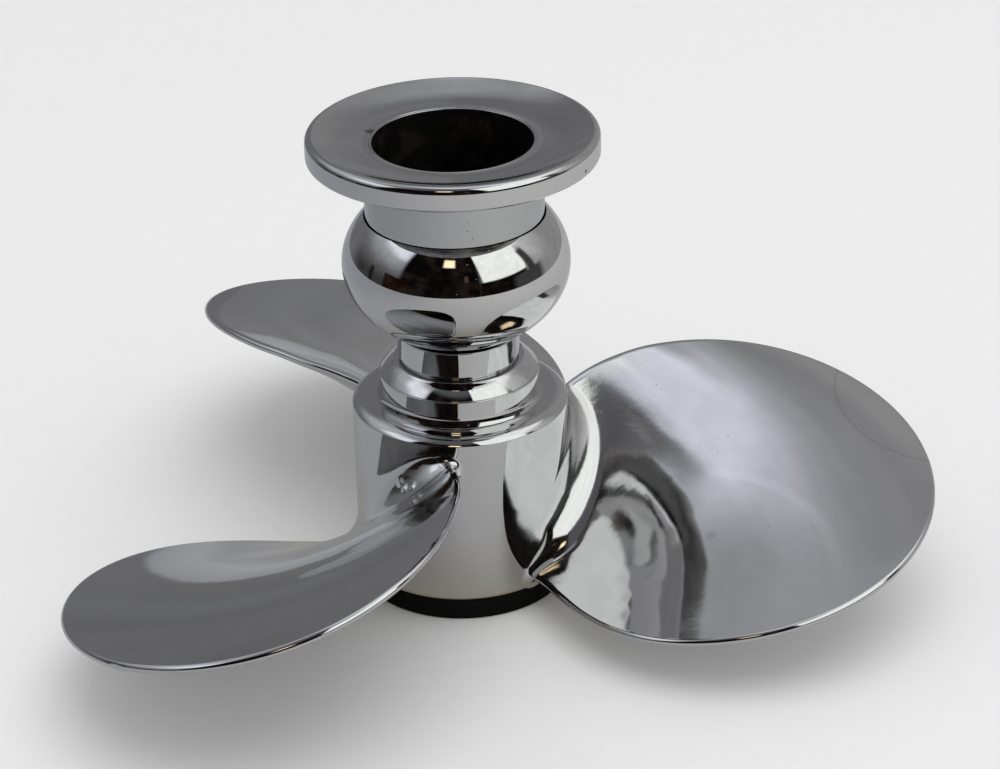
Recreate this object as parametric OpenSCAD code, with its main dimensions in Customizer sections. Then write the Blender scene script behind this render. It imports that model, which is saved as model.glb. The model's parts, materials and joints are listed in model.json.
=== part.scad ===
// Candle holder built from a three-blade boat propeller standing on its hub.
// Origin: centre of the pad's underside on the hub axis. +Z is up along the hub and stem,
// and +X passes through the tip of blade 1. All lengths are in millimetres.

/* [Propeller] */
// Radius from the hub axis to a blade tip
blade_r = 67; // [60:0.5:75]
// Number of blades, equally spaced
blade_count = 3; // [3:1:3]
// Advance of the blade face in one turn
pitch = 90.7; // [85:0.1:96]
// Half chord of a blade where it meets the hub
root_half_chord = 11.7; // [10:0.1:12.5]
// Half chord gained over the whole span, before the tip is rounded off
chord_gain = 61; // [50:0.5:65]
// Distance of the mid chord from the blade's reference line at the root, along the chord
root_sweep = 8.1; // [4:0.1:9]
// Further distance of the mid chord from that line at the tip
tip_sweep = 12.3; // [8:0.1:14]
// Extra length of the leading side of the chord at the root
nose_gain = 5.2; // [4:0.1:5.4]
// Blade thickness at the root
root_thick = 3.0; // [2.4:0.1:3.4]
// Blade thickness at the tip
tip_thick = 1.2; // [1:0.1:1.8]
// Depth of the hollow across the blade face, beside the root
face_hollow = 1.1; // [0.6:0.1:1.4]
// Width of the braze fillet round each blade root
fillet_w = 2; // [1.6:0.1:2.2]

/* [Hub] */
// Outside radius of the hub
hub_r = 15.2; // [14.8:0.1:15.6]
// Height of the hub's barrel
hub_h = 25.6; // [25:0.1:27]
// Radius of the black pad under the hub
pad_r = 14.9; // [14:0.1:15]
// Thickness of the black pad
pad_h = 3.2; // [2.5:0.1:4]

/* [Stem] */
// Radius of the foot's band
foot_r = 11.25; // [10.6:0.05:11.6]
// How far the band flares out where it stands on the hub
foot_flare = 0.45; // [0.2:0.05:0.7]
// Height of the foot's band
foot_band_h = 3.75; // [3.4:0.05:4]
// Height of the cone above the band
foot_cone_h = 2.3; // [2.1:0.05:2.5]
// Radius of the plain neck
neck_r = 8.5; // [8:0.05:8.8]
// Height of the plain neck
neck_h = 3.75; // [3.4:0.05:4]
// Largest radius of the ball
ball_r = 15.8; // [15.5:0.1:16.5]
// Half height of the ball, before its two ends are cut off
ball_half_h = 11.85; // [11.6:0.05:12.4]

/* [Candle cup] */
// Radius of the candle bore
bore_r = 11; // [10.8:0.1:11.2]
// Depth of the candle bore
bore_depth = 19.9; // [19:0.1:20.4]
// Outside radius of the collar under the drip pan
collar_r = 12.35; // [12.3:0.05:12.6]
// Radius of the drip pan
pan_r = 20.06; // [19:0.02:22]
// Thickness of the drip pan at its rim
pan_h = 3.4; // [3:0.1:4]

/* [Hidden] */
$fn = 96;

// Heights of the stack, from the pad up
hub_top = pad_h + hub_h;
band_top = hub_top + foot_band_h;
cone_top = band_top + foot_cone_h;
neck_top = cone_top + neck_h;
ball_mid = neck_top + 10.45;
pan_bottom = neck_top + 26.3;
pan_top = pan_bottom + pan_h;
lip_top = pan_top - 1.4;
cup_floor = lip_top - bore_depth;
cup_bottom = cup_floor - 3.5;
lip_r = bore_r + 0.5;
pan_crest_r = pan_r - 1;

// Hub details
shoulder_r = 2.5;
shoulder_flat_r = hub_r - 2;
hub_edge_r = 0.5;
shaft_bore_r = 6.35;
pocket_r = 9;
pocket_top = pad_h + 8.8;

// Tie rod and its nut
rod_r = 3;
rod_bottom = pad_h + 0.2;
rod_top = cup_bottom + 2.4;
thread_r = rod_r + 0.05;
clear_r = rod_r + 0.3;
washer_r = 6.2;
washer_h = 1.6;
spring_r = 5.4;
spring_h = 1.6;
nut_flats = 10;
nut_h = 5;

// Blade formula: stations along the span and points round each section
stations = 22;
section_points = 32;
span = blade_r - hub_r;
braze_gap = 0.04;
root_z = 10.95;
rake_slope = 0.153;
rake_curve = 0.00262;
nose_fade = 8.5;
root_hollow = 0.9;
hollow_at = 14;
hollow_lean = 0.5;

function helix_angle(r) = atan(pitch / (2 * PI * r));
function span_part(r) = min(1, max(0, (r - hub_r) / span));
// The leading side of the chord grows longer towards the hub
function nose(r) = nose_gain * exp((hub_r - r) / nose_fade) * (1 - span_part(r));
function half_chord(r) = (root_half_chord + chord_gain * span_part(r)) * sqrt(1 - span_part(r))
    + nose(r) / 2;
function mid_chord(r) = root_sweep + tip_sweep * pow(span_part(r), 2) - nose(r) / 2;
function rake_z(r) = root_z + rake_slope * (r - hub_r) - rake_curve * pow(r - hub_r, 2);
// The edges are rounded off over the last part of the span, so that the tip closes to a point
function half_thick(r) = (root_thick + (tip_thick - root_thick) * span_part(r)) / 2
    * sqrt(max(0, 1 - pow(span_part(r), 40)));
// Depth of the hollow that bends the whole section, deepest at hollow_at from the hub
function hollow_depth(r) = let(x = (r - hub_r) / hollow_at)
    root_hollow * pow(1 - span_part(r), 2) + face_hollow * x * exp(1 - x);
function hollow_shape(a) = pow(sin(a), 2) * (1 - hollow_lean * cos(a));
// Angle of the tip from the reference line, which puts the tip of blade 1 on +X
tip_angle = (root_sweep + tip_sweep) * cos(helix_angle(blade_r)) / blade_r * 180 / PI;

// Radius of a station: the root, the fillet's edge, and then closer towards the tip,
// where the outline closes
function station_r(j) = j == 0 ? hub_r + braze_gap
    : hub_r + fillet_w + (span - fillet_w) * (1 - pow(1 - (j - 1) / (stations - 1), 2));
// Point (s along the chord, e across it) at radius r, wrapped onto the cylinder of that radius
function wrap(r, s, e) = let(
        b = helix_angle(r),
        turn = (s * cos(b) - e * sin(b)) / r * 180 / PI - tip_angle
    ) [r * cos(turn), r * sin(turn), rake_z(r) + s * sin(b) + e * cos(b)];
function thick_shape(a) = sign(sin(a)) * pow(abs(sin(a)), 0.7);
// Outline of the section at radius r, grown outwards by off
function outline_normal(r, a) = let(
        n = [cos(a) / half_chord(r), sin(a) / half_thick(r)]
    ) n / norm(n);
function section_point(r, a, off = 0, on_r = 0) = let(
        n = off > 0 ? outline_normal(r, a) : [0, 0]
    ) wrap(on_r > 0 ? on_r : r, mid_chord(r) + half_chord(r) * cos(a) + off * n[0],
           half_thick(r) * thick_shape(a) - hollow_depth(r) * hollow_shape(a) + off * n[1]);
function section_angle(i) = 360 * i / section_points;

// Two triangles that join four points of a strip
function quad(a, b, c, d) = [[a, b, c], [a, c, d]];

// Triangles between two rings of n points that start at a and b
function ring_wall(a, b, n) = [
    for (i = [0:n - 1]) each quad(a + i, a + (i + 1) % n, b + (i + 1) % n, b + i)
];

// Root face, as strips from the upper side of the section to the lower side
function root_cap(n) = [
    for (i = [0:n / 2 - 1]) each
        i == 0 ? [[0, n - 1, 1]]
        : i == n / 2 - 1 ? [[i, n - i, i + 1]]
        : quad(i, n - i, n - i - 1, i + 1)
];

module blade_solid() {
    n = section_points;
    last = stations - 1;
    points = concat(
        [for (j = [0:last], i = [0:n - 1]) section_point(station_r(j), section_angle(i))],
        [section_point(blade_r, 0)]
    );
    tip = len(points) - 1;
    faces = concat(
        root_cap(n),
        [for (j = [0:last - 1]) each ring_wall(j * n, (j + 1) * n, n)],
        [for (i = [0:n - 1]) [last * n + i, last * n + (i + 1) % n, tip]]
    );
    polyhedron(points, faces);
}

// Concave bead between hub and blade: root edge, blade side, hollow face, hub side
module fillet_solid() {
    n = section_points;
    root = hub_r + braze_gap;
    blade_side = station_r(1);
    hollow = 0.29;
    hollow_r = root + hollow * (blade_side - root);
    hub_side = root + 0.06;
    points = concat(
        [for (i = [0:n - 1]) section_point(root, section_angle(i))],
        [for (i = [0:n - 1]) section_point(blade_side, section_angle(i))],
        [for (i = [0:n - 1]) section_point(hollow_r, section_angle(i), hollow * fillet_w)],
        [for (i = [0:n - 1]) section_point(root, section_angle(i), fillet_w, hub_side)]
    );
    faces = concat(
        ring_wall(n, 0, n),
        ring_wall(2 * n, n, n),
        ring_wall(3 * n, 2 * n, n),
        ring_wall(0, 3 * n, n)
    );
    polyhedron(points, faces);
}

module on_blade(k) {
    rotate([0, 0, 360 / blade_count * (k - 1)]) children();
}

module blade(k) {
    color("silver") on_blade(k) blade_solid();
}

module root_fillet(k) {
    color("gainsboro") on_blade(k) fillet_solid();
}

// Flat ring from the inner to the outer radius, between two heights
module ring(inner_r, outer_r, z0, z1) {
    rotate_extrude() translate([inner_r, z0]) square([outer_r - inner_r, z1 - z0]);
}

module base_pad() {
    edge = 0.3;
    color("black") rotate_extrude() polygon([
        [0, 0], [pad_r - edge, 0], [pad_r, edge], [pad_r, pad_h], [0, pad_h]
    ]);
}

// Barrel outline with a rounded shoulder at the top and a small round at the bottom
module hub_outline() {
    intersection() {
        translate([0, pad_h]) square([hub_r, hub_h]);
        union() {
            translate([0, pad_h]) square([shoulder_flat_r, hub_h]);
            translate([shoulder_flat_r, hub_top - shoulder_r]) circle(r = shoulder_r);
            translate([0, pad_h + hub_edge_r]) square([hub_r, hub_h - shoulder_r - hub_edge_r]);
            translate([hub_r - hub_edge_r, pad_h + hub_edge_r]) circle(r = hub_edge_r);
        }
    }
}

module propeller_hub() {
    color("silver") rotate_extrude() difference() {
        hub_outline();
        square([shaft_bore_r, hub_top + 1]);
        square([pocket_r, pocket_top]);
    }
}

// Sleeve that centres the tie rod in the propeller's wide shaft bore
module hub_sleeve() {
    color("dimgray") ring(clear_r, shaft_bore_r, pocket_top, hub_top);
}

// Band that flares out in a hollow curve where it stands on the hub
module foot_ring() {
    flare_h = 1.4;
    steps = 6;
    flare = [for (i = [0:steps]) let(x = 1 - i / steps)
        [foot_r + foot_flare * pow(x, 2), hub_top + flare_h * (1 - x)]];
    color("silver") rotate_extrude() polygon(concat(
        [[clear_r, hub_top]], flare,
        [[foot_r, band_top - 0.15], [foot_r - 0.15, band_top], [clear_r, band_top]]
    ));
}

// Slightly bulged cone with a narrow groove where it meets the neck
module foot_cone() {
    groove = 0.4;
    bulge = 0.12;
    top_r = neck_r + 0.6;
    steps = 6;
    side = [for (i = [0:steps]) let(x = i / steps) [
        foot_r - 0.15 + (top_r - foot_r + 0.15) * x,
        band_top + (foot_cone_h - groove) * x + 4 * bulge * x * (1 - x)
    ]];
    color("silver") rotate_extrude() polygon(concat(
        [[clear_r, band_top]], side,
        [[neck_r - groove, cone_top - groove], [neck_r - groove, cone_top], [clear_r, cone_top]]
    ));
}

module neck_spool() {
    edge = 0.15;
    color("silver") rotate_extrude() polygon([
        [clear_r, cone_top], [neck_r - edge, cone_top], [neck_r, cone_top + edge],
        [neck_r, neck_top - edge], [neck_r - edge, neck_top], [clear_r, neck_top]
    ]);
}

// Flattened ball, cut flat above the neck and bored for the cup
module ball_knop() {
    steps = 60;
    color("silver") rotate_extrude() difference() {
        polygon([for (i = [0:steps]) let(a = -90 + 180 * i / steps)
            [ball_r * cos(a), ball_mid + ball_half_h * sin(a)]]);
        translate([0, neck_top - 2 * ball_half_h]) square([ball_r, 2 * ball_half_h]);
        translate([0, cup_bottom]) square([collar_r, 2 * ball_half_h]);
        square([clear_r, 2 * ball_mid]);
    }
}

// Tube with a floor, tapped from below for the tie rod, and a thin lip through the drip pan
module candle_cup() {
    color("darkslategray") rotate_extrude() difference() {
        union() {
            translate([0, cup_bottom]) square([collar_r, pan_bottom - cup_bottom]);
            translate([0, cup_bottom]) square([lip_r, lip_top - cup_bottom]);
        }
        translate([0, cup_floor]) square([bore_r, 2 * bore_depth]);
        translate([0, cup_bottom - 1]) square([thread_r, rod_top + 0.1 - cup_bottom + 1]);
    }
}

// Dished pan: the top falls in a hollow curve from the rim's crest to the cup's lip
module drip_pan() {
    rim_round = pan_r - pan_crest_r;
    under_edge = 0.3;
    steps = 12;
    dish = [for (i = [0:steps]) let(x = i / steps)
        [lip_r + (pan_crest_r - lip_r) * x, lip_top + (pan_top - lip_top) * pow(x, 2)]];
    rim = [for (a = [75:-15:0])
        [pan_crest_r + rim_round * cos(a), pan_top - rim_round + rim_round * sin(a)]];
    color("silver") rotate_extrude() polygon(concat(
        dish, rim,
        [[pan_r, pan_bottom + under_edge], [pan_r - under_edge, pan_bottom], [lip_r, pan_bottom]]
    ));
}

module tie_rod() {
    color("gray") translate([0, 0, rod_bottom]) cylinder(r = rod_r, h = rod_top - rod_bottom);
}

module base_washer() {
    color("gray") ring(clear_r, washer_r, pocket_top - washer_h, pocket_top);
}

// Split ring under the plain washer
module spring_washer() {
    z1 = pocket_top - washer_h;
    color("dimgray") difference() {
        ring(clear_r - 0.1, spring_r, z1 - spring_h, z1);
        translate([clear_r - 1, -0.5, z1 - spring_h - 1]) cube([spring_r, 1, spring_h + 2]);
    }
}

module base_nut() {
    nut_top = pocket_top - washer_h - spring_h;
    color("gray") difference() {
        translate([0, 0, nut_top - nut_h]) cylinder(d = nut_flats / cos(30), h = nut_h, $fn = 6);
        translate([0, 0, nut_top - nut_h - 1]) cylinder(r = thread_r, h = nut_h + 2);
    }
}

base_pad();
propeller_hub();
blade(1);  // blade_1
blade(2);  // blade_2
blade(3);  // blade_3
root_fillet(1);  // root_fillet_1
root_fillet(2);  // root_fillet_2
root_fillet(3);  // root_fillet_3
hub_sleeve();
foot_ring();
foot_cone();
neck_spool();
ball_knop();
candle_cup();
drip_pan();
tie_rod();
base_washer();
spring_washer();
base_nut();
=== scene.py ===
"""Looks of the propeller candle holder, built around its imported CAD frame.

Lengths in the shape functions are in millimetres, as in the CAD source, and MM turns them into
metres where a mesh is made. The hub and stem axis is +Z, and blade 1 points along +X.
"""

import json
import math

import bpy
import numpy as np
from mathutils import Matrix, Vector


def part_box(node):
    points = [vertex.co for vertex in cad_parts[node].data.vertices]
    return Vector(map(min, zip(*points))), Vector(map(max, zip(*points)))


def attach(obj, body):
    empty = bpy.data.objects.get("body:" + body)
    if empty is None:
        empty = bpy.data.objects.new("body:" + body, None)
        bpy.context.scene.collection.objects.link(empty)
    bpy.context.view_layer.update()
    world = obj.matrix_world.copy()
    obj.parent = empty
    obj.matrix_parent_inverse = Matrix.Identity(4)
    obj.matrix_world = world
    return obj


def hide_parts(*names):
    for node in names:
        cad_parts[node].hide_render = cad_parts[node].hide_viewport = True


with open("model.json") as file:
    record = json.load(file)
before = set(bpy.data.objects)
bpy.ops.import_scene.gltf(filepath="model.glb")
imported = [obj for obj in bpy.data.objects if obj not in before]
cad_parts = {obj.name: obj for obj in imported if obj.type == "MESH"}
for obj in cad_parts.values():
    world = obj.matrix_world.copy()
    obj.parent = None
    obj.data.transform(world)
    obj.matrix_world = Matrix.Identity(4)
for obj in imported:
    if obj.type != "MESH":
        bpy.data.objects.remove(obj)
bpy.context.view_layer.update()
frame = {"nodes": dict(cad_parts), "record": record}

MM = 0.001
BODY = "root"


# ---------------------------------------------------------------- sizes taken from the frame

def node_levels(node):
    """Outside radius, lowest and highest level of a turned CAD node, in millimetres."""
    low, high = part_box(node)
    return high.x / MM, low.z / MM, high.z / MM


PAD_R, PAD_BOTTOM, PAD_TOP = node_levels("base_pad")
HUB_R, HUB_BOTTOM, HUB_TOP = node_levels("propeller_hub")
FLARE_R, _, BAND_TOP = node_levels("foot_ring")
CONE_R, _, CONE_TOP = node_levels("foot_cone")
NECK_R, _, NECK_TOP = node_levels("neck_spool")
BALL_R, _, BALL_CUT_TOP = node_levels("ball_knop")
COLLAR_R, CUP_BOTTOM, LIP_TOP = node_levels("candle_cup")
PAN_R, PAN_BOTTOM, PAN_TOP = node_levels("drip_pan")
SOCKET = next(m for m in frame["record"]["mounts"] if m["name"] == "candle_socket")
BORE_R = SOCKET["dims"]["r_mm"]
BORE_DEPTH = SOCKET["dims"]["length_mm"]
BLADE_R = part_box("blade_1")[1].x / MM


# ---------------------------------------------------------------- mesh helpers

def new_piece(name, verts, faces, normals, materials, replaces):
    """One mesh piece in metres that rides on the body and stands for CAD nodes."""
    mesh = bpy.data.meshes.new(f"{name}_skin")
    mesh.from_pydata((np.asarray(verts) * MM).tolist(), [], faces)
    mesh.update()
    for polygon in mesh.polygons:
        polygon.use_smooth = True
    for material in materials:
        mesh.materials.append(material)
    lengths = np.linalg.norm(normals, axis=1, keepdims=True)
    mesh.normals_split_custom_set_from_vertices((normals / lengths).tolist())
    piece = bpy.data.objects.new(mesh.name, mesh)
    bpy.context.scene.collection.objects.link(piece)
    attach(piece, BODY)
    if replaces:
        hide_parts(*replaces)
    return piece


def grid_faces(rows, columns, wrap_rows=False):
    """Quads of a grid whose columns close into a ring, and whose rows may close too."""
    faces = []
    for i in range(rows if wrap_rows else rows - 1):
        below = i * columns
        above = ((i + 1) % rows) * columns
        for j in range(columns):
            k = (j + 1) % columns
            faces.append((below + j, below + k, above + k, above + j))
    return faces


# ---------------------------------------------------------------- turned pieces

RING_SEGMENTS = 256


def rounded_outline(corners, steps=7):
    """Points and outward normals of a closed outline (r, z, corner radius), run anticlockwise
    with r to the right and z up."""
    points, normals = [], []
    count = len(corners)
    for i in range(count):
        here = np.array(corners[i][:2], float)
        before = np.array(corners[i - 1][:2], float) - here
        after = np.array(corners[(i + 1) % count][:2], float) - here
        before_len, after_len = np.linalg.norm(before), np.linalg.norm(after)
        before, after = before / before_len, after / after_len
        half = math.acos(np.clip(before @ after, -1, 1)) / 2
        cut = corners[i][2] / math.tan(half) if half < math.pi / 2 - 1e-3 else 0
        cut = min(cut, 0.49 * before_len, 0.49 * after_len)
        start, end = here + before * cut, here + after * cut
        first = np.array([-before[1], before[0]])
        last = np.array([after[1], -after[0]])
        if cut == 0:
            points.append(here)
            normals.append(first + last)
            continue
        radius = cut * math.tan(half)
        turn = first[0] * last[1] - first[1] * last[0]
        centre = start - first * radius * np.sign(turn)
        for k in range(steps + 1):
            mix = first * (steps - k) / steps + last * k / steps
            mix /= np.linalg.norm(mix)
            points.append(centre + mix * radius * np.sign(turn))
            normals.append(mix)
    return np.array(points), np.array(normals)


def turned_piece(name, points, normals, materials, replaces, slot, shade=None):
    """Spins a closed outline round the axis. shade gives the material of a face from its outline
    point, for a piece that has more than one."""
    angles = np.arange(RING_SEGMENTS) * 2 * math.pi / RING_SEGMENTS
    cos, sin = np.cos(angles), np.sin(angles)
    verts = np.stack([np.outer(points[:, 0], cos), np.outer(points[:, 0], sin),
                      np.repeat(points[:, 1:2], RING_SEGMENTS, 1)], -1).reshape(-1, 3)
    flow = np.stack([np.outer(normals[:, 0], cos), np.outer(normals[:, 0], sin),
                     np.repeat(normals[:, 1:2], RING_SEGMENTS, 1)], -1).reshape(-1, 3)
    faces = grid_faces(len(points), RING_SEGMENTS, wrap_rows=True)
    piece = new_piece(name, verts, faces, flow, materials, replaces)
    if shade:
        for polygon in piece.data.polygons:
            row = polygon.index // RING_SEGMENTS
            middle = (points[row] + points[(row + 1) % len(points)]) / 2
            polygon.material_index = shade(middle)
    return piece


# ---------------------------------------------------------------- blades

# Outline: half the chord at the root and its growth outward, and how far its middle is swept
ROOT_HALF_CHORD = 11.7
CHORD_GAIN = 61.0
ROOT_SWEEP = 8.1
TIP_SWEEP = 12.3
# Extra chord on the leading side at the root, and the distance over which it fades
NOSE_GAIN = 5.2
NOSE_FADE = 8.5
# Helix advance in one turn, height of the root, and rise of the blade toward its tip
PITCH = 90.7
ROOT_Z = 10.95
RAKE_SLOPE = 0.153
RAKE_CURVE = 0.00262
# Thickness in the middle of the chord and at the edge, and how wide the rounded edge is
ROOT_THICK = 3.0
TIP_THICK = 1.2
EDGE_THICK = 1.15
EDGE_ROUND = 0.75
# Hollow of the face: depth at the root, extra depth, where that is deepest, and its lean
ROOT_HOLLOW = 0.9
SPAN_HOLLOW = 0.98
HOLLOW_AT = 12.0
HOLLOW_LEAN = 0.5
# Ripples of hand finishing: heights, wave lengths, and the stretch of the blade that has them
RIPPLE = 0.05
RIPPLE_CHORD = 15
RIPPLE_OUT = 24
QUICK_RIPPLE = 0.012
QUICK_CHORD = 6.3
RIPPLE_AT = 13
RIPPLE_REACH = 9
SPAN = BLADE_R - HUB_R
TIP_TURN = (ROOT_SWEEP + TIP_SWEEP) * math.cos(math.atan(PITCH / (2 * math.pi * BLADE_R))) / BLADE_R

# Root fillet: radius on the face, back, trailing edge and leading edge, and the length of the
# trailing part over which it grows
FACE_FILLET = 5.0
BACK_FILLET = 3.4
TAIL_FILLET = 1.6
NOSE_FILLET = 1.6
NOSE_RISE = 7.0

SECTION_POINTS = 288
BLADE_ROWS = 150
FILLET_ROWS = 22


def nose(t):
    """Extra length of the leading side of the chord near the root."""
    return NOSE_GAIN * np.exp(-t * SPAN / NOSE_FADE) * (1 - t)


def half_chord(t):
    return (ROOT_HALF_CHORD + CHORD_GAIN * t) * np.sqrt(np.maximum(1 - t, 0)) + nose(t) / 2


def mid_chord(t):
    return ROOT_SWEEP + TIP_SWEEP * t ** 2 - nose(t) / 2


def hand_ripple(out, chord):
    """Slow and quick ripples left by hand finishing, strongest a little way out from the root."""
    slow = np.sin(2 * math.pi * (chord / RIPPLE_CHORD + out / RIPPLE_OUT) + 2.0)
    winding = 2 * math.pi * chord / QUICK_CHORD + 1.2 * np.sin(out / 1.9)
    quick = np.sin(winding) * np.sin(out / 1.4 + 0.5)
    reach = np.exp(-((out - RIPPLE_AT) / RIPPLE_REACH) ** 2)
    return (RIPPLE * slow + QUICK_RIPPLE * quick) * reach


def edge_distance(t, u):
    """Distance of the point at chord fraction u from the blade's outline, near enough."""
    left = np.sqrt(np.maximum(1 - t, 1e-9))
    slope = (CHORD_GAIN * left - (ROOT_HALF_CHORD + CHORD_GAIN * t) / (2 * left)) / SPAN
    return half_chord(t) * (1 - np.abs(u)) / np.sqrt(1 + slope ** 2)


def section(r, phi):
    """Chord and thickness coordinates of the blade's skin: phi goes once round the section, over
    the upper face from 0 to pi and back under it."""
    t = np.clip((r - HUB_R) / SPAN, 0, 1)
    u = np.cos(phi)
    near = np.minimum(edge_distance(t, u) / EDGE_ROUND, 1)
    rounding = np.sqrt(np.maximum(1 - (1 - near) ** 2, 0))
    crown = ROOT_THICK + (TIP_THICK - ROOT_THICK) * t
    thick = EDGE_THICK + np.maximum(crown - EDGE_THICK, 0) * (1 - u ** 2)
    out = t * SPAN / HOLLOW_AT
    depth = ROOT_HOLLOW * (1 - t) ** 2 + SPAN_HOLLOW * out * np.exp(1 - out)
    bow = -depth * (1 - u ** 2) * (1 - HOLLOW_LEAN * u)
    chord = mid_chord(t) + half_chord(t) * u
    bow = bow + hand_ripple(t * SPAN, chord)
    return chord, bow + np.sign(np.sin(phi)) * thick / 2 * rounding


def wrapped(r, chord, across, turn):
    """Point at chord and thickness coordinates, wrapped onto the cylinder of radius r."""
    pitch_angle = np.arctan(PITCH / (2 * math.pi * r))
    around = chord * np.cos(pitch_angle) - across * np.sin(pitch_angle)
    angle = around / r - TIP_TURN + turn
    out = r - HUB_R
    height = ROOT_Z + RAKE_SLOPE * out - RAKE_CURVE * out ** 2
    height = height + chord * np.sin(pitch_angle) + across * np.cos(pitch_angle)
    return np.stack([r * np.cos(angle), r * np.sin(angle), height], -1)


def fillet_size(phi):
    """Radius of the root fillet round the section: wide on the faces and round the leading edge,
    and narrow at the trailing edge."""
    back = (ROOT_HALF_CHORD + NOSE_GAIN / 2) * (1 + np.cos(phi))
    part = np.where(np.cos(phi) > 0, np.abs(np.sin(phi)), np.clip(back / NOSE_RISE, 0, 1))
    face = np.where(np.sin(phi) > 0, FACE_FILLET, BACK_FILLET)
    edge = TAIL_FILLET + (NOSE_FILLET - TAIL_FILLET) * (1 - np.cos(phi)) / 2
    return edge + (face - edge) * part ** 2 * (3 - 2 * part)


def fillet_point(psi, phi, turn):
    """Skin of the fillet: psi is 0 at the blade and a quarter turn at the hub."""
    size = fillet_size(phi)
    r = HUB_R + size * (1 - np.sin(psi))
    off = size * (1 - np.cos(psi))
    step = 1e-4
    chord, across = section(r, phi)
    chord_a, across_a = section(r, phi - step)
    chord_b, across_b = section(r, phi + step)
    run, rise = chord_b - chord_a, across_b - across_a
    length = np.hypot(run, rise)
    return wrapped(r, chord + off * rise / length, across - off * run / length, turn)


def blade_point(tau, phi, turn):
    """Skin of the blade beyond the fillet: tau runs from 0 at the fillet to 1 at the tip."""
    start = HUB_R + fillet_size(phi)
    r = start + (BLADE_R - start) * (1 - (1 - tau) ** 2)
    chord, across = section(r, phi)
    return wrapped(r, chord, across, turn)


def skin_normals(point, rows, phi, turn, low, high):
    """Outward normals of a skin from its own slopes, kept inside the row range low to high."""
    step = 2e-4
    row_a, row_b = np.maximum(rows - step, low), np.minimum(rows + step, high)
    along = point(row_b, phi, turn) - point(row_a, phi, turn)
    around = point(rows, phi + step, turn) - point(rows, phi - step, turn)
    return np.cross(around, along)


def section_phis():
    """Angles round the section, shifted off the edges' exact kinks."""
    return (np.arange(SECTION_POINTS) + 0.5) * 2 * math.pi / SECTION_POINTS


def blade_piece(k, material):
    """Blade k with its rounded edge, closed at the tip by a small cap and open at the root, where it meets
    the fillet.
    """
    turn = (k - 1) * 2 * math.pi / 3
    tau = np.linspace(0, 1 - 1 / BLADE_ROWS / 3, BLADE_ROWS)
    rows, phi = np.meshgrid(tau, section_phis(), indexing="ij")
    verts = blade_point(rows, phi, turn).reshape(-1, 3)
    normals = skin_normals(blade_point, rows, phi, turn, 0, 1 - 1e-6).reshape(-1, 3)
    faces = grid_faces(BLADE_ROWS, SECTION_POINTS)
    last = (BLADE_ROWS - 1) * SECTION_POINTS
    tip = len(verts)
    verts = np.vstack([verts, verts[last:].mean(0)])
    normals = np.vstack([normals, [math.cos(turn), math.sin(turn), 0]])
    faces += [(last + j, last + (j + 1) % SECTION_POINTS, tip) for j in range(SECTION_POINTS)]
    return new_piece(f"blade_{k}", verts, faces, normals, [material], [f"blade_{k}"])


# Small braze beads left on the upper fillet of blade 3: middle, height and width
BEADS = [((-4.75, -16.14, 21.35), 0.30, 0.30), ((-3.45, -16.8, 22.15), 0.26, 0.28),
         ((-5.54, -15.05, 21.63), 0.20, 0.35), ((1.76, -17.6, 25.0), 0.24, 0.30)]


def raise_beads(verts, normals):
    """Lifts the skin into round beads, with normals that follow."""
    normals = normals / np.linalg.norm(normals, axis=1, keepdims=True)
    lift, slope = np.zeros(len(verts)), np.zeros_like(verts)
    for middle, height, width in BEADS:
        away = verts - middle
        bead = height * np.exp(-(away ** 2).sum(1) / (2 * width ** 2))
        lift += bead
        slope -= away * (bead / width ** 2)[:, None]
    slope -= normals * (slope * normals).sum(1, keepdims=True)
    return verts + normals * lift[:, None], normals - slope


def fillet_piece(k, material):
    """Braze fillet of blade k, from its foot on the hub up to the blade."""
    turn = (k - 1) * 2 * math.pi / 3
    psi = np.linspace(math.pi / 2, 0, FILLET_ROWS)
    rows, phi = np.meshgrid(psi, section_phis(), indexing="ij")
    verts = fillet_point(rows, phi, turn).reshape(-1, 3)
    normals = -skin_normals(fillet_point, rows, phi, turn, 0, math.pi / 2).reshape(-1, 3)
    verts, normals = raise_beads(verts, normals)
    faces = grid_faces(FILLET_ROWS, SECTION_POINTS)
    return new_piece(f"root_fillet_{k}", verts, faces, normals, [material], [f"root_fillet_{k}"])


# ---------------------------------------------------------------- node helpers

def add(tree, kind, inputs=(), **settings):
    """Adds a shader node. inputs maps socket names or numbers to values or to other sockets."""
    node = tree.nodes.new(kind)
    for name, value in settings.items():
        setattr(node, name, value)
    for name, value in dict(inputs).items():
        if isinstance(value, bpy.types.NodeSocket):
            tree.links.new(value, node.inputs[name])
        else:
            node.inputs[name].default_value = value
    return node


def maths(tree, operation, *values):
    return add(tree, "ShaderNodeMath", enumerate(values), operation=operation).outputs[0]


def soft_step(tree, value, edge, width):
    """0 below the edge and 1 above it, eased over the width."""
    ends = {"Value": value, "From Min": edge - width / 2, "From Max": edge + width / 2}
    return add(tree, "ShaderNodeMapRange", ends, interpolation_type="SMOOTHSTEP").outputs[0]


def mix_color(tree, factor, below, above):
    node = add(tree, "ShaderNodeMix", {0: factor, 6: below, 7: above}, data_type="RGBA")
    return node.outputs[2]


# ---------------------------------------------------------------- materials

def new_material(name, **values):
    """A material, its node tree and its shader, with plain values on the shader's own sockets."""
    material = bpy.data.materials.new(name)
    material.use_nodes = True
    tree = material.node_tree
    shader = tree.nodes["Principled BSDF"]
    for socket, value in values.items():
        shader.inputs[socket.replace("_", " ")].default_value = value
    return material, tree, shader


def spots(tree, place, scale, size, soft=0.5):
    """1 inside scattered round spots of the given size, measured in cells of the pattern."""
    cells = add(tree, "ShaderNodeTexVoronoi", {"Vector": place, "Scale": scale})
    return maths(tree, "SUBTRACT", 1, soft_step(tree, cells.outputs["Distance"], size, size * soft))


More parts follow.
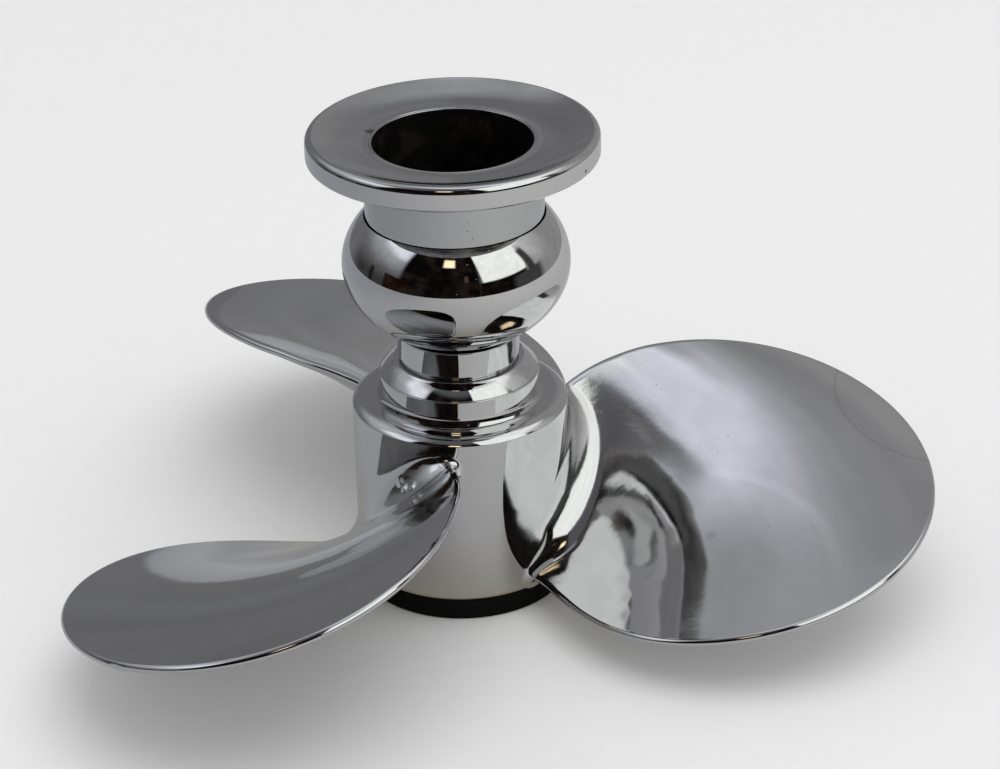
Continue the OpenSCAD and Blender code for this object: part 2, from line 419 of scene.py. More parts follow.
def noise(tree, place, scale, detail=3.0, roughness=0.5):
    ends = {"Vector": place, "Scale": scale, "Detail": detail, "Roughness": roughness}
    return add(tree, "ShaderNodeTexNoise", ends).outputs[0]


def span(tree, value, low, high):
    """Maps 0..1 onto low..high."""
    ends = {"Value": value, "To Min": low, "To Max": high}
    return add(tree, "ShaderNodeMapRange", ends).outputs[0]


def bump(tree, height, distance, below=None):
    ends = {"Height": height, "Distance": distance, "Strength": 1.0}
    if below:
        ends["Normal"] = below
    return add(tree, "ShaderNodeBump", ends).outputs[0]


def plated(name, color, wave, grain, pits, haze=0.05, marks_and_reflection=None, turned=0.0):
    """Chrome plate: slow waves of the metal under it, polishing grain, haze, pits and dust.
    The function given for marks adds marks of its own, and on the hub a painted warm reflection along the
    bottom edge; turned is the depth of the lathe's rings."""
    material, tree, shader = new_material(name, Metallic=1.0)
    place = add(tree, "ShaderNodeTexCoord").outputs["Object"]
    brushed = add(tree, "ShaderNodeMapping", {"Vector": place, "Rotation": (0.5, 0.7, 0.3),
                                             "Scale": (1, 9, 1)}).outputs[0]
    lines = noise(tree, brushed, 900, 3, 0.6)
    cloud = noise(tree, place, 60, 5, 0.6)
    patchy = soft_step(tree, noise(tree, place, 130, 3), 0.6, 0.2)
    holes = maths(tree, "MULTIPLY", spots(tree, place, 900, 0.08), patchy)
    dust = maths(tree, "MULTIPLY", spots(tree, place, 1900, 0.12), soft_step(tree, cloud, 0.5, 0.3))
    dirt = maths(tree, "ADD", maths(tree, "MULTIPLY", holes, 0.6 * pits),
                 maths(tree, "MULTIPLY", dust, 0.2 * pits))
    shade = span(tree, cloud, 0.92, 1.06)
    shade = maths(tree, "MULTIPLY", shade, span(tree, lines, 0.97, 1.03))
    plate = add(tree, "ShaderNodeVectorMath", {0: color, 1: shade}, operation="MULTIPLY").outputs[0]
    rough = span(tree, cloud, 0.015, haze)
    shape = bump(tree, noise(tree, place, 95, 2, 0.4), wave * MM)
    shape = bump(tree, lines, grain * MM, shape)
    if turned:
        x, y, z = add(tree, "ShaderNodeSeparateXYZ", {0: place}).outputs
        ring = add(tree, "ShaderNodeCombineXYZ", {0: distance_from_axis(tree, x, y), 1: z}).outputs[0]
        rings = maths(tree, "MULTIPLY", noise(tree, ring, 1400, 3, 0.6), cloud)
        shape = bump(tree, rings, turned * MM, shape)
    tint = mix_color(tree, dirt, plate, (0.10, 0.09, 0.085, 1))
    # Marks of wear, and on the hub a painted warm reflection.
    if marks_and_reflection:
        tint, rough, shape = marks_and_reflection(tree, place, tint, rough, shape)
    tree.links.new(tint, shader.inputs["Base Color"])
    tree.links.new(maths(tree, "ADD", rough, maths(tree, "MULTIPLY", dirt, 0.3)),
                   shader.inputs["Roughness"])
    shape = bump(tree, maths(tree, "MULTIPLY", holes, -1), 0.01 * MM * pits, shape)
    tree.links.new(shape, shader.inputs["Normal"])
    return material


def distance_from_axis(tree, x, y):
    square = maths(tree, "ADD", maths(tree, "MULTIPLY", x, x), maths(tree, "MULTIPLY", y, y))
    return maths(tree, "SQRT", square)


def distance_from(tree, place, point):
    """Distance in metres from a point given in millimetres, with an uneven edge."""
    away = add(tree, "ShaderNodeVectorMath", {0: place, 1: [v * MM for v in point]},
               operation="DISTANCE").outputs["Value"]
    return maths(tree, "ADD", away, span(tree, noise(tree, place, 1500, 3), -0.25 * MM, 0.25 * MM))


def mark(tree, place, point, size, soft=0.6):
    """1 inside an uneven blot round a point, with lengths in millimetres."""
    away = distance_from(tree, place, point)
    return maths(tree, "SUBTRACT", 1, soft_step(tree, away, size * MM, size * soft * MM))


def ring_line(tree, place, point, radius, width):
    """1 on a thin uneven ring round a point, with lengths in millimetres."""
    away = distance_from(tree, place, point)
    off = maths(tree, "ABSOLUTE", maths(tree, "SUBTRACT", away, radius * MM))
    return maths(tree, "SUBTRACT", 1, soft_step(tree, off, width * MM, width * MM))


# Marks on blade 1: a dried ring and a wiped arc with their middles and radii, a drop and scuffs
WATER_RING = ((65.3, 21.6, 21.9), 14.26)
WIPE_ARC = ((36.6, -16.5, 13.0), 18.1)
DRIED_DROP = (36.9, -9.5, 13.6)
SCUFFS = [(37.0, 7.3, 20.3), (44.7, -8.0, 15.0), (57.0, 3.0, 18.2), (59.0, 2.2, 17.8), (43.4, 16.4, 23.2)]


def blade_wear(tree, place, tint, rough, shape):
    """Hand-finished root, and on blade 1 a dried water ring, a wiped arc, a drop and scuffs."""
    x, y, _ = add(tree, "ShaderNodeSeparateXYZ", {0: place}).outputs
    root = maths(tree, "SUBTRACT", 1, soft_step(tree, distance_from_axis(tree, x, y), 30 * MM, 12 * MM))
    uneven = noise(tree, place, 700, 4, 0.6)
    rough = maths(tree, "ADD", rough, maths(tree, "MULTIPLY", root, span(tree, uneven, 0.0, 0.11)))
    shape = bump(tree, maths(tree, "MULTIPLY", uneven, root), 0.013 * MM, shape)
    ring = ring_line(tree, place, *WATER_RING, 0.16)
    tint = mix_color(tree, maths(tree, "MULTIPLY", ring, 0.26), tint, (0.30, 0.30, 0.32, 1))
    arc_mark = ring_line(tree, place, *WIPE_ARC, 0.8)
    ahead = soft_step(tree, y, -14 * MM, 14 * MM)
    outward = soft_step(tree, x, 36 * MM, 10 * MM)
    arc_mark = maths(tree, "MULTIPLY", arc_mark, maths(tree, "MULTIPLY", ahead, outward))
    tint = mix_color(tree, maths(tree, "MULTIPLY", arc_mark, 0.15), tint, (0.95, 0.95, 0.98, 1))
    drop = mark(tree, place, DRIED_DROP, 0.75, 0.5)
    tint = mix_color(tree, maths(tree, "MULTIPLY", drop, 0.3), tint, (0.32, 0.32, 0.32, 1))
    for point in SCUFFS:
        scuff = maths(tree, "MULTIPLY", mark(tree, place, point, 0.5), spots(tree, place, 2600, 0.3))
        tint = mix_color(tree, maths(tree, "MULTIPLY", scuff, 0.5), tint, (0.20, 0.20, 0.20, 1))
    return tint, rough, shape


def hub_haze_and_warm_reflection(tree, place, tint, rough, shape):
    """A tan line along the bottom edge, a painted warm reflection on rougher plate, and slightly hazy above
    it.
    """
    _, _, z = add(tree, "ShaderNodeSeparateXYZ", {0: place}).outputs
    height = maths(tree, "ADD", z, span(tree, noise(tree, place, 500, 3), -0.25 * MM, 0.25 * MM))
    warm_reflection_band = maths(tree, "SUBTRACT", 1, soft_step(tree, height, (PAD_TOP + 0.45) * MM, 0.5 * MM))
    hazy = maths(tree, "SUBTRACT", 1, soft_step(tree, height, (PAD_TOP + 3) * MM, 6 * MM))
    # Tan tint along the bottom edge: a painted warm reflection.
    tint = mix_color(tree, maths(tree, "MULTIPLY", warm_reflection_band, 0.7), tint, (0.42, 0.33, 0.22, 1))
    rough = maths(tree, "ADD", rough, maths(tree, "MULTIPLY", warm_reflection_band, 0.2))
    return tint, maths(tree, "ADD", rough, maths(tree, "MULTIPLY", hazy, 0.05)), shape


# Marks on the pan: a rust blot beside the bore and chips along the rim
RUST = (-11.6, 1.2, 66.9)
CHIPS = [(19.5, -4.7, 65.0), (17.4, -10.0, 64.6), (19.3, -5.9, 65.9)]


def pan_wear(tree, place, tint, rough, shape):
    """A rust blot beside the bore and small chips along the rim."""
    blot = mark(tree, place, RUST, 0.75, 0.9)
    tint = mix_color(tree, maths(tree, "MULTIPLY", blot, 0.8), tint, (0.09, 0.055, 0.03, 1))
    rough = maths(tree, "ADD", rough, maths(tree, "MULTIPLY", blot, 0.35))
    for point in CHIPS:
        chip = mark(tree, place, point, 0.28, 0.4)
        tint = mix_color(tree, maths(tree, "MULTIPLY", chip, 0.9), tint, (0.03, 0.03, 0.03, 1))
    return tint, rough, shape


def dull_metal(name, light, dark, roughness):
    """Bare metal that has gone dull, blotched between two colours."""
    material, tree, shader = new_material(name, Metallic=1.0)
    place = add(tree, "ShaderNodeTexCoord").outputs["Object"]
    blotch = noise(tree, place, 240, 5, 0.65)
    grit = noise(tree, place, 2500, 2)
    tree.links.new(mix_color(tree, soft_step(tree, blotch, 0.5, 0.3), (*dark, 1), (*light, 1)),
                   shader.inputs["Base Color"])
    tree.links.new(span(tree, blotch, roughness - 0.1, roughness + 0.1), shader.inputs["Roughness"])
    tree.links.new(bump(tree, grit, 0.012 * MM), shader.inputs["Normal"])
    return material


def sooty_bore():
    """The candle bore's inside: nearly black, with brown patches and a few scrapes."""
    material, tree, shader = new_material("bore", Metallic=0.25)
    place = add(tree, "ShaderNodeTexCoord").outputs["Object"]
    blotch = soft_step(tree, noise(tree, place, 300, 5, 0.65), 0.58, 0.2)
    scrape = spots(tree, place, 900, 0.12)
    color = mix_color(tree, blotch, (0.003, 0.002, 0.002, 1), (0.012, 0.007, 0.005, 1))
    color = mix_color(tree, maths(tree, "MULTIPLY", scrape, blotch), color, (0.07, 0.055, 0.045, 1))
    tree.links.new(color, shader.inputs["Base Color"])
    tree.links.new(span(tree, blotch, 0.48, 0.66), shader.inputs["Roughness"])
    tree.links.new(bump(tree, noise(tree, place, 1200, 3), 0.03 * MM), shader.inputs["Normal"])
    return material


def black_rubber():
    """Black rubber with sparse dust, its near-black tone partly painted shade under the hub."""
    material, tree, shader = new_material("rubber", Metallic=0.0, Specular_IOR_Level=0.03)
    place = add(tree, "ShaderNodeTexCoord").outputs["Object"]
    scuff = noise(tree, place, 400, 4, 0.6)
    dust = maths(tree, "MULTIPLY", spots(tree, place, 1800, 0.16), soft_step(tree, scuff, 0.55, 0.2))
    # Near-black tone: black rubber, partly painted shade under the hub.
    color = mix_color(tree, scuff, (0.003, 0.003, 0.003, 1), (0.008, 0.008, 0.008, 1))
    color = mix_color(tree, dust, color, (0.03, 0.03, 0.028, 1))
    tree.links.new(color, shader.inputs["Base Color"])
    tree.links.new(span(tree, scuff, 0.5, 0.75), shader.inputs["Roughness"])
    tree.links.new(bump(tree, scuff, 0.04 * MM), shader.inputs["Normal"])
    return material


# Width of the fade between the table's painted lit and shaded colours in metres, and the painted shadow
# ring round the hub, darker and warmer
TABLE_FADE = 0.36
HUB_SHADOW_R = 29
HUB_SHADOW_SOFT = 32
HUB_SHADOW_TONE = (0.26, 0.24, 0.18)


def stage_material(name, lit_color, shaded_color, toward=0.0, own_light=0.0, ring=0.0):
    """Matt table top with painted light: it fades from a shaded colour to a lit one in one direction.
    own_light is the part of its brightness that the object's shadow doesn't touch, a painted glow, and ring
    is how much of a painted shadow, darker and warmer, lies right round the hub."""
    material, tree, shader = new_material(name, Roughness=0.6)
    place = add(tree, "ShaderNodeTexCoord").outputs["Object"]
    x, y, _ = add(tree, "ShaderNodeSeparateXYZ", {0: place}).outputs
    along = maths(tree, "ADD", maths(tree, "MULTIPLY", x, math.cos(toward)),
                  maths(tree, "MULTIPLY", y, math.sin(toward)))
    # Painted light: the table is lighter on the lit side and darker away from it.
    painted_light_tone = mix_color(tree, soft_step(tree, along, 0.0, TABLE_FADE), (*shaded_color, 1), (*lit_color, 1))
    fleck = span(tree, noise(tree, place, 300, 3), 0.985, 1.015)
    tone = add(tree, "ShaderNodeVectorMath", {0: painted_light_tone, 1: fleck}, operation="MULTIPLY").outputs[0]
    # Painted shadow: darker and warmer right round the hub.
    away = soft_step(tree, distance_from_axis(tree, x, y), HUB_SHADOW_R * MM, HUB_SHADOW_SOFT * MM)
    painted_hub_shadow = maths(tree, "MULTIPLY", maths(tree, "SUBTRACT", 1, away), ring)
    tone = mix_color(tree, painted_hub_shadow, tone, (*HUB_SHADOW_TONE, 1))
    tree.links.new(tone, shader.inputs["Base Color"])
    # The same tones glow by own_light, a painted light that the object's shadow doesn't touch.
    tree.links.new(tone, shader.inputs["Emission Color"])
    shader.inputs["Emission Strength"].default_value = own_light
    return material


CHROME = (0.60, 0.60, 0.61)
blade_chrome = plated("blade_chrome", CHROME, 0.030, 0.0012, 0.8, marks_and_reflection=blade_wear)
# The hub's tan band at its bottom edge is a painted warm reflection.
hub_chrome = plated("hub_chrome", CHROME, 0.075, 0.0012, 0.8, marks_and_reflection=hub_haze_and_warm_reflection)
turned_chrome = plated("turned_chrome", CHROME, 0.006, 0.0006, 0.7, haze=0.035, turned=0.0012)
pan_chrome = plated("pan_chrome", CHROME, 0.008, 0.0008, 0.9, haze=0.06, marks_and_reflection=pan_wear, turned=0.008)
collar_plate = plated("collar_plate", (0.50, 0.51, 0.52), 0.014, 0.0060, 1.5, haze=0.16)
dull_under = dull_metal("dull_under", (0.42, 0.41, 0.40), (0.30, 0.29, 0.28), 0.22)
# Near-black metal for the inner faces of the gap between ball and collar: painted shade in the crevice.
crevice_shade = dull_metal("crevice_shade", (0.05, 0.045, 0.04), (0.02, 0.018, 0.016), 0.5)
bore = sooty_bore()
rubber = black_rubber()
steel = dull_metal("steel", (0.45, 0.45, 0.46), (0.28, 0.27, 0.26), 0.38)


# ---------------------------------------------------------------- pieces

CLEAR_R = 3.3
SHAFT_BORE_R = 6.35
POCKET_R = 9.0
POCKET_TOP = PAD_TOP + 8.8
SHOULDER_R = 2.5
SHOULDER_FLAT_R = HUB_R - 2
LIP_R = BORE_R + 0.5
# Corner radius of an edge that nobody sees
FINE = 0.12


def arc(middle_r, middle_z, radius, start, end, steps):
    """Outline corners along an arc, with its angles in degrees above the horizontal."""
    turns = np.radians(np.linspace(start, end, steps))
    return [(middle_r + radius * math.cos(a), middle_z + radius * math.sin(a), 0) for a in turns]


def base_pad():
    """Rubber disc that the hub stands on."""
    outline = [(0.01, PAD_BOTTOM, 0), (PAD_R, PAD_BOTTOM, 0.35), (PAD_R, PAD_TOP, 0.1),
               (0.01, PAD_TOP, 0)]
    turned_piece("base_pad", *rounded_outline(outline), [rubber], ["base_pad"], "black_rubber")


def propeller_hub():
    """Barrel with a rounded shoulder, a shaft bore and a pocket under it for the nut."""
    outline = [
        (POCKET_R, HUB_BOTTOM, FINE), (HUB_R, HUB_BOTTOM, 0.5),
        (HUB_R, HUB_TOP - 1, 0.15), *arc(SHOULDER_FLAT_R, HUB_TOP - SHOULDER_R, SHOULDER_R, 41, 90, 18),
        (SHAFT_BORE_R, HUB_TOP, FINE), (SHAFT_BORE_R, POCKET_TOP, FINE), (POCKET_R, POCKET_TOP, FINE),
    ]
    turned_piece("propeller_hub", *rounded_outline(outline), [hub_chrome], ["propeller_hub"],
                 "chrome")


FLARE = 0.45
FLARE_H = 1.4
BAND_R = FLARE_R - FLARE
GROOVE = 0.4


def foot_ring():
    """Band that flares out where it stands on the hub."""
    flare = [(BAND_R + FLARE * x ** 2, HUB_TOP + FLARE_H * (1 - x), 0)
             for x in np.linspace(0.92, 0, 12)]
    outline = [(CLEAR_R, HUB_TOP, FINE), (FLARE_R, HUB_TOP, 0.04), *flare, (BAND_R, BAND_TOP, 0.15),
               (CLEAR_R, BAND_TOP, FINE)]
    turned_piece("foot_ring", *rounded_outline(outline), [turned_chrome], ["foot_ring"], "chrome")


def foot_cone():
    """Bulged cone with a soft lip at both ends and a groove under the neck."""
    low_r, high_r = CONE_R, NECK_R + 0.6
    rise = CONE_TOP - GROOVE - BAND_TOP
    side = [(low_r + (high_r - low_r) * x, BAND_TOP + rise * x + 0.48 * x * (1 - x), 0)
            for x in np.linspace(0.08, 0.88, 11)]
    outline = [
        (CLEAR_R, BAND_TOP, FINE), (low_r, BAND_TOP, 0.04), *side, (high_r + 0.05, CONE_TOP - GROOVE, 0.14),
        (NECK_R - GROOVE, CONE_TOP - GROOVE, FINE), (NECK_R - GROOVE, CONE_TOP, FINE),
        (CLEAR_R, CONE_TOP, FINE),
    ]
    turned_piece("foot_cone", *rounded_outline(outline), [turned_chrome], ["foot_cone"], "chrome")


def neck_spool():
    """Plain turned neck."""
    outline = [(CLEAR_R, CONE_TOP, FINE), (NECK_R, CONE_TOP, 0.15), (NECK_R, NECK_TOP, 0.15),
               (CLEAR_R, NECK_TOP, FINE)]
    turned_piece("neck_spool", *rounded_outline(outline), [turned_chrome], ["neck_spool"], "chrome")


BALL_MID = NECK_TOP + 10.45
BALL_HALF_H = 11.85
SEAM_W = 0.2


def ball_knop():
    """Flattened ball, with a narrow gap where the cup's collar enters it, its inner faces painted near
    black as shade.
    """
    low = math.asin((NECK_TOP - BALL_MID) / BALL_HALF_H)
    high = math.acos((COLLAR_R + SEAM_W) / BALL_R)
    a = np.linspace(low, high, 90)
    skin = np.stack([BALL_R * np.cos(a), BALL_MID + BALL_HALF_H * np.sin(a)], -1)
    flow = np.stack([np.cos(a) / BALL_R, np.sin(a) / BALL_HALF_H], -1)
    top = skin[-1, 1]
    inner, inner_n = [], []
    for (r, z), n in (((COLLAR_R + SEAM_W, top - 0.05), (-1, 0)),
                      ((COLLAR_R + SEAM_W, top - 0.6), (-1, 0.3)),
                      ((COLLAR_R, top - 0.65), (-0.3, 1)),
                      ((COLLAR_R, CUP_BOTTOM), (-1, 1)),
                      ((CLEAR_R, CUP_BOTTOM), (-1, 1)), ((CLEAR_R, NECK_TOP), (-1, -1))):
        inner.append((r, z))
        inner_n.append(n)
    points = np.vstack([skin, inner])
    normals = np.vstack([flow, inner_n])
    # The gap's inner faces get the near-black painted shade.
    turned_piece("ball_knop", points, normals, [turned_chrome, crevice_shade], ["ball_knop"], "chrome",
                 shade=lambda p: int(p[0] < COLLAR_R + SEAM_W + 0.001 and p[1] > top - 0.7))


def candle_cup():
    """Collar sunk into the ball, with the candle bore inside it."""
    floor = LIP_TOP - BORE_DEPTH
    outline = [
        (0.01, CUP_BOTTOM, 0), (COLLAR_R, CUP_BOTTOM, FINE), (COLLAR_R, PAN_BOTTOM, 0.3),
        (LIP_R, PAN_BOTTOM, FINE), (LIP_R, LIP_TOP, 0.2), (BORE_R, LIP_TOP, 0.2),
        (BORE_R, floor, 0.8), (0.01, floor, 0),
    ]
    points, normals = rounded_outline(outline)
    turned_piece("candle_cup", points, normals, [collar_plate, bore], ["candle_cup"], "cup_brass",
                 shade=lambda p: int(p[0] < BORE_R + 0.05 and p[1] > floor - 0.1))


def drip_pan():
    """Dished pan with a rounded rim, bright on top and dull under it."""
    rim_round = 1.0
    under_round = 0.45
    crest_r = PAN_R - rim_round
    x = np.linspace(0, 1, 30)
    dish = np.stack([LIP_R + (crest_r - LIP_R) * x, LIP_TOP + (PAN_TOP - LIP_TOP) * x ** 2], -1)
    dish_n = np.stack([-2 * (PAN_TOP - LIP_TOP) * x / (crest_r - LIP_R), np.ones_like(x)], -1)
    a = np.radians(np.linspace(82, 0, 14))
    rim = np.stack([crest_r + rim_round * np.cos(a), PAN_TOP - rim_round + rim_round * np.sin(a)], -1)
    rim_n = np.stack([np.cos(a), np.sin(a)], -1)
    a = np.radians(np.linspace(0, -90, 8))
    under_n = np.stack([np.cos(a), np.sin(a)], -1)
    under = np.array([PAN_R - under_round, PAN_BOTTOM + under_round]) + under_round * under_n
    points = np.vstack([dish, rim, under, [(LIP_R, PAN_BOTTOM)]])[::-1]
    normals = np.vstack([dish_n, rim_n, under_n, [(-1, -1)]])[::-1]
    turned_piece("drip_pan", points, normals, [pan_chrome, dull_under], ["drip_pan"], "chrome",
                 shade=lambda p: int(p[1] < PAN_BOTTOM + 0.01))


base_pad()
propeller_hub()
foot_ring()
foot_cone()
neck_spool()
ball_knop()
candle_cup()
drip_pan()
for number in (1, 2, 3):
    blade_piece(number, blade_chrome)
    fillet_piece(number, blade_chrome)
for node in ("tie_rod", "hub_sleeve", "base_washer", "spring_washer", "base_nut"):
    materials = frame["nodes"][node].data.materials
    materials.clear()
    materials.append(steel)


# ---------------------------------------------------------------- camera and stage

# The camera looks from behind -Y, turned round the axis, with its distances in metres
VIEW_TURN = math.radians(12.19)
CAMERA_BACK = 0.3742
CAMERA_UP = 0.2231
CAMERA_YAW = math.radians(0.865)
CAMERA_PITCH = math.radians(27.367)
CAMERA_ROLL = math.radians(-1.309)
CAMERA_LENS = 107.64


def camera():
    """The camera, from its place, its three angles and its lens."""
    yaw, pitch, roll = CAMERA_YAW, CAMERA_PITCH, CAMERA_ROLL
    forward = Vector((math.sin(yaw) * math.cos(pitch), math.cos(yaw) * math.cos(pitch),
                      -math.sin(pitch)))
    level = Vector((math.cos(yaw), -math.sin(yaw), 0))
    above = level.cross(forward)
    right = math.cos(roll) * level + math.sin(roll) * above
    up = math.cos(roll) * above - math.sin(roll) * level
    turn = Matrix.Rotation(VIEW_TURN, 4, "Z")
    pose = Matrix((right, up, -forward)).transposed().to_4x4()
    pose.translation = Vector((0, -CAMERA_BACK, CAMERA_UP))
    data = bpy.data.cameras.new("camera")
    data.sensor_width = 36
    data.lens = CAMERA_LENS
    obj = bpy.data.objects.new("camera", data)
    obj.matrix_world = turn @ pose
    bpy.context.scene.collection.objects.link(obj)
    bpy.context.scene.camera = obj


# The room round the table, as soft panels on a dome. Azimuth is in degrees round the view's own
# frame, -90 toward the camera and 0 to its right, and elevation is above the table.
WALL = (0.185, 0.187, 0.195)
CEILING_FRONT = (0.12, 0.118, 0.13)
CEILING_BACK = (0.41, 0.42, 0.44)
CEILING_GLOW = (0.92, 0.95, 1.05)
# The glow's middle, half length and half width on a ceiling one unit up, its turn, and where its
# soft edge is, in parts of those halves. A straight soft edge cuts off its front left.
GLOW_SIDE = 0.13
GLOW_BACK = 0.22
GLOW_LONG = 0.49
GLOW_WIDE = 0.29
GLOW_TURN = math.radians(10)
GLOW_EDGE = 0.82
GLOW_SOFT = 1.05
CUT_TURN = math.radians(31)
CUT_AT = -0.05
CUT_SOFT = 0.09
DARK = (0.004, 0.003, 0.003)
# Azimuth from and to, elevation from and to, softness of each, lean of the left and right edges
# in degrees of azimuth per degree of elevation, colour. A later panel hides an earlier one.
PANELS = [
    # right side: a grey wall, its lighter part, and a bright patch high on it
    (-15, 80, -30, 62, 50, 20, 0, 0, (0.34, 0.34, 0.34)),
    (-14, 20, 20, 60, 40, 44, 0, 0, (0.74, 0.74, 0.73)),
    (-20, 36, 44, 71, 14, 10, 0, 0, (1.20, 1.20, 1.17)),
    # left side: a light wall, a bright patch on it, and darkness low down
    (-235, -151, 28, 62, 24, 30, 0, 0, (0.58, 0.59, 0.62)),
    (-194, -153, 38, 54, 14, 10, 0, 0, (1.10, 1.14, 1.20)),
    (-212, -146, -30, 12, 24, 24, 0, 0, (0.05, 0.05, 0.05)),
    # the dark side of the room, behind the camera and to both sides of it
    (-150, -66, -30, 58, 6, 9, 0, 0, DARK),
    (-167, -140, -30, 13, 3, 3, 0, 0, (0.012, 0.006, 0.004)),
    (-68, -14, -30, 15, 6, 2, 0, 0, DARK),
    (-30, 4, -30, 11, 10, 4, 0, 0, (0.06, 0.06, 0.06)),
    # the window to the right of the camera, then a post beside it and one on the far left
    (-62, -17, 15.5, 71, 2.5, 3, -0.1, 0.2, (1.30, 1.34, 1.28)),
    (-12, -3, -30, 38, 4, 6, 0, 0, (0.06, 0.06, 0.06)),
    (-186, -181, -30, 11, 3, 3, 0, 0, (0.01, 0.01, 0.01)),
    # a lamp, and a small warm glint
    (-106, -92, 42, 52, 4, 3, 0, 0, (2.0, 1.6, 1.0)),
    (-82, -78, 19, 28, 2, 3, 0, 0, (0.10, 0.06, 0.05)),
]
BACKDROP = (0.76, 0.76, 0.76)


def between(tree, value, low, high, soft):
    """1 between two values, with the same softness at both."""
    return maths(tree, "MULTIPLY", soft_step(tree, value, low, soft),
                 maths(tree, "SUBTRACT", 1, soft_step(tree, value, high, soft)))


def leaning(tree, around, up, lean):
    """Azimuth measured from an edge that leans as it goes up."""
    return maths(tree, "SUBTRACT", around, maths(tree, "MULTIPLY", up, lean)) if lean else around


def room():
    """The world: panels for what the chrome mirrors, and one plain pale tone for all else."""
    world = bpy.data.worlds.new("room")
    bpy.context.scene.world = world
    world.use_nodes = True
    world.cycles.sampling_method = "NONE"
    tree = world.node_tree
    tree.nodes.clear()
    ray = add(tree, "ShaderNodeTexCoord").outputs["Generated"]
    turned = add(tree, "ShaderNodeVectorRotate", {"Vector": ray, "Angle": -VIEW_TURN},
                 rotation_type="Z_AXIS").outputs[0]
    x, y, z = add(tree, "ShaderNodeSeparateXYZ", {0: turned}).outputs
    around = maths(tree, "DEGREES", maths(tree, "ARCTAN2", y, x))
    around = maths(tree, "WRAP", around, 90, -270)
    up = maths(tree, "DEGREES", maths(tree, "ARCSINE", z))
    color = mix_color(tree, soft_step(tree, up, 42, 16), (*WALL, 1), ceiling(tree, x, y, z))
    for left, right, low, high, soft_around, soft_up, left_lean, right_lean, shade in PANELS:
        left_edge = soft_step(tree, leaning(tree, around, up, left_lean), left, soft_around)
        right_edge = soft_step(tree, leaning(tree, around, up, right_lean), right, soft_around)
        inside = maths(tree, "MULTIPLY", left_edge, maths(tree, "SUBTRACT", 1, right_edge))
        height = between(tree, up, low, high, soft_up)
        color = mix_color(tree, maths(tree, "MULTIPLY", inside, height), color, (*shade, 1))
    clouds = noise(tree, turned, 7, 4, 0.6)
    color = add(tree, "ShaderNodeVectorMath", {0: color, 1: span(tree, clouds, 0.72, 1.28)},
                operation="MULTIPLY").outputs[0]
    clutter = mix_color(tree, soft_step(tree, noise(tree, turned, 4, 2), 0.55, 0.3), (0, 0, 0, 1),
                        (0.016, 0.011, 0.009, 1))
    color = add(tree, "ShaderNodeVectorMath", {0: color, 1: clutter}, operation="ADD").outputs[0]
    path = add(tree, "ShaderNodeLightPath").outputs
    unscattered = maths(tree, "LESS_THAN", path["Diffuse Depth"], 0.5)
    mirrored = maths(tree, "MULTIPLY", path["Is Glossy Ray"], unscattered)
    color = mix_color(tree, mirrored, (*BACKDROP, 1), color)
    background = add(tree, "ShaderNodeBackground", {"Color": color})
    add(tree, "ShaderNodeOutputWorld", {"Surface": background.outputs[0]})


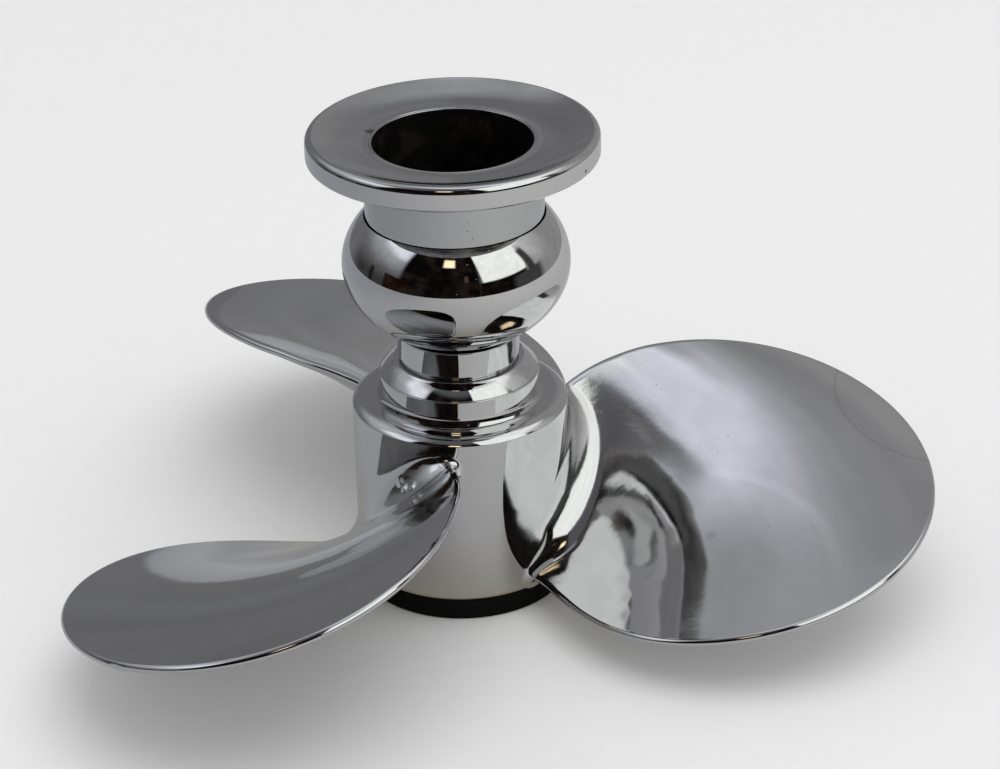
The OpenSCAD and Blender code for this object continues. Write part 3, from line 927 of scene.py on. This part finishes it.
def ceiling(tree, x, y, z):
    """A flat ceiling, dark at the front and grey at the back, with a long soft glow across it."""
    side = maths(tree, "DIVIDE", x, maths(tree, "MAXIMUM", z, 0.05))
    back = maths(tree, "DIVIDE", y, maths(tree, "MAXIMUM", z, 0.05))
    plain_part = mix_color(tree, soft_step(tree, back, 0.1, 0.6), (*CEILING_FRONT, 1),
                           (*CEILING_BACK, 1))
    inward = maths(tree, "ADD", maths(tree, "MULTIPLY", side, math.cos(CUT_TURN)),
                   maths(tree, "MULTIPLY", back, math.sin(CUT_TURN)))
    uncut = soft_step(tree, inward, CUT_AT, CUT_SOFT)
    side = maths(tree, "SUBTRACT", side, GLOW_SIDE)
    back = maths(tree, "SUBTRACT", back, GLOW_BACK)
    cos, sin = math.cos(GLOW_TURN), math.sin(GLOW_TURN)
    along = maths(tree, "SUBTRACT", maths(tree, "MULTIPLY", side, cos / GLOW_LONG),
                  maths(tree, "MULTIPLY", back, sin / GLOW_LONG))
    across = maths(tree, "ADD", maths(tree, "MULTIPLY", side, sin / GLOW_WIDE),
                   maths(tree, "MULTIPLY", back, cos / GLOW_WIDE))
    reach = maths(tree, "SQRT", maths(tree, "ADD", maths(tree, "MULTIPLY", along, along),
                                      maths(tree, "MULTIPLY", across, across)))
    glow = maths(tree, "MULTIPLY", uncut,
                 maths(tree, "SUBTRACT", 1, soft_step(tree, reach, GLOW_EDGE, GLOW_SOFT)))
    return mix_color(tree, glow, plain_part, (*CEILING_GLOW, 1))


FLOOR_HALF = 3.0
TABLE_R = 0.44
TABLE_LIFT = 0.00005
FLOOR_TONE = (0.86, 0.86, 0.86)
# Lit and shaded tones of the table's painted pool of light, brightest toward TABLE_LIGHT_SIDE
TABLE_LIT_TONE = (0.395, 0.393, 0.386)
TABLE_SHADED_TONE = (0.228, 0.232, 0.248)
TABLE_LIGHT_SIDE = VIEW_TURN + math.radians(-30)


def flat_stage(name, outline, height, material):
    mesh = bpy.data.meshes.new(name)
    mesh.from_pydata([(x, y, height) for x, y in outline], [], [tuple(range(len(outline)))])
    mesh.materials.append(material)
    obj = bpy.data.objects.new(name, mesh)
    bpy.context.scene.collection.objects.link(obj)
    return obj


def floor():
    """The pale floor that is seen, and the darker table top that the chrome reflects."""
    half = FLOOR_HALF
    seen = flat_stage("floor", [(-half, -half), (half, -half), (half, half), (-half, half)], 0,
                      stage_material("floor", FLOOR_TONE, FLOOR_TONE))
    seen.visible_glossy = False
    turns = [2 * math.pi * k / 96 for k in range(96)]
    circle = [(TABLE_R * math.cos(a), TABLE_R * math.sin(a)) for a in turns]
    # The table is painted with a pool of light from one side, a shadow round the hub and a glow of its own.
    table = flat_stage("table", circle, TABLE_LIFT,
                       stage_material("table", TABLE_LIT_TONE, TABLE_SHADED_TONE, TABLE_LIGHT_SIDE, 0.6, ring=0.8))
    table.visible_camera = False
    table.visible_diffuse = False
    table.visible_shadow = False


def lamp():
    """A wide soft light overhead that the chrome doesn't mirror."""
    data = bpy.data.lights.new("overhead", "AREA")
    data.shape = "DISK"
    data.size = 1.4
    data.energy = 6
    obj = bpy.data.objects.new("overhead", data)
    obj.location = (0.25, -0.1, 1.3)
    obj.rotation_euler = (Vector((0, 0, 0)) - obj.location).to_track_quat("-Z", "Y").to_euler()
    obj.visible_glossy = False
    bpy.context.scene.collection.objects.link(obj)


camera()
floor()
lamp()
room()
bpy.context.scene.view_settings.view_transform = "Standard"
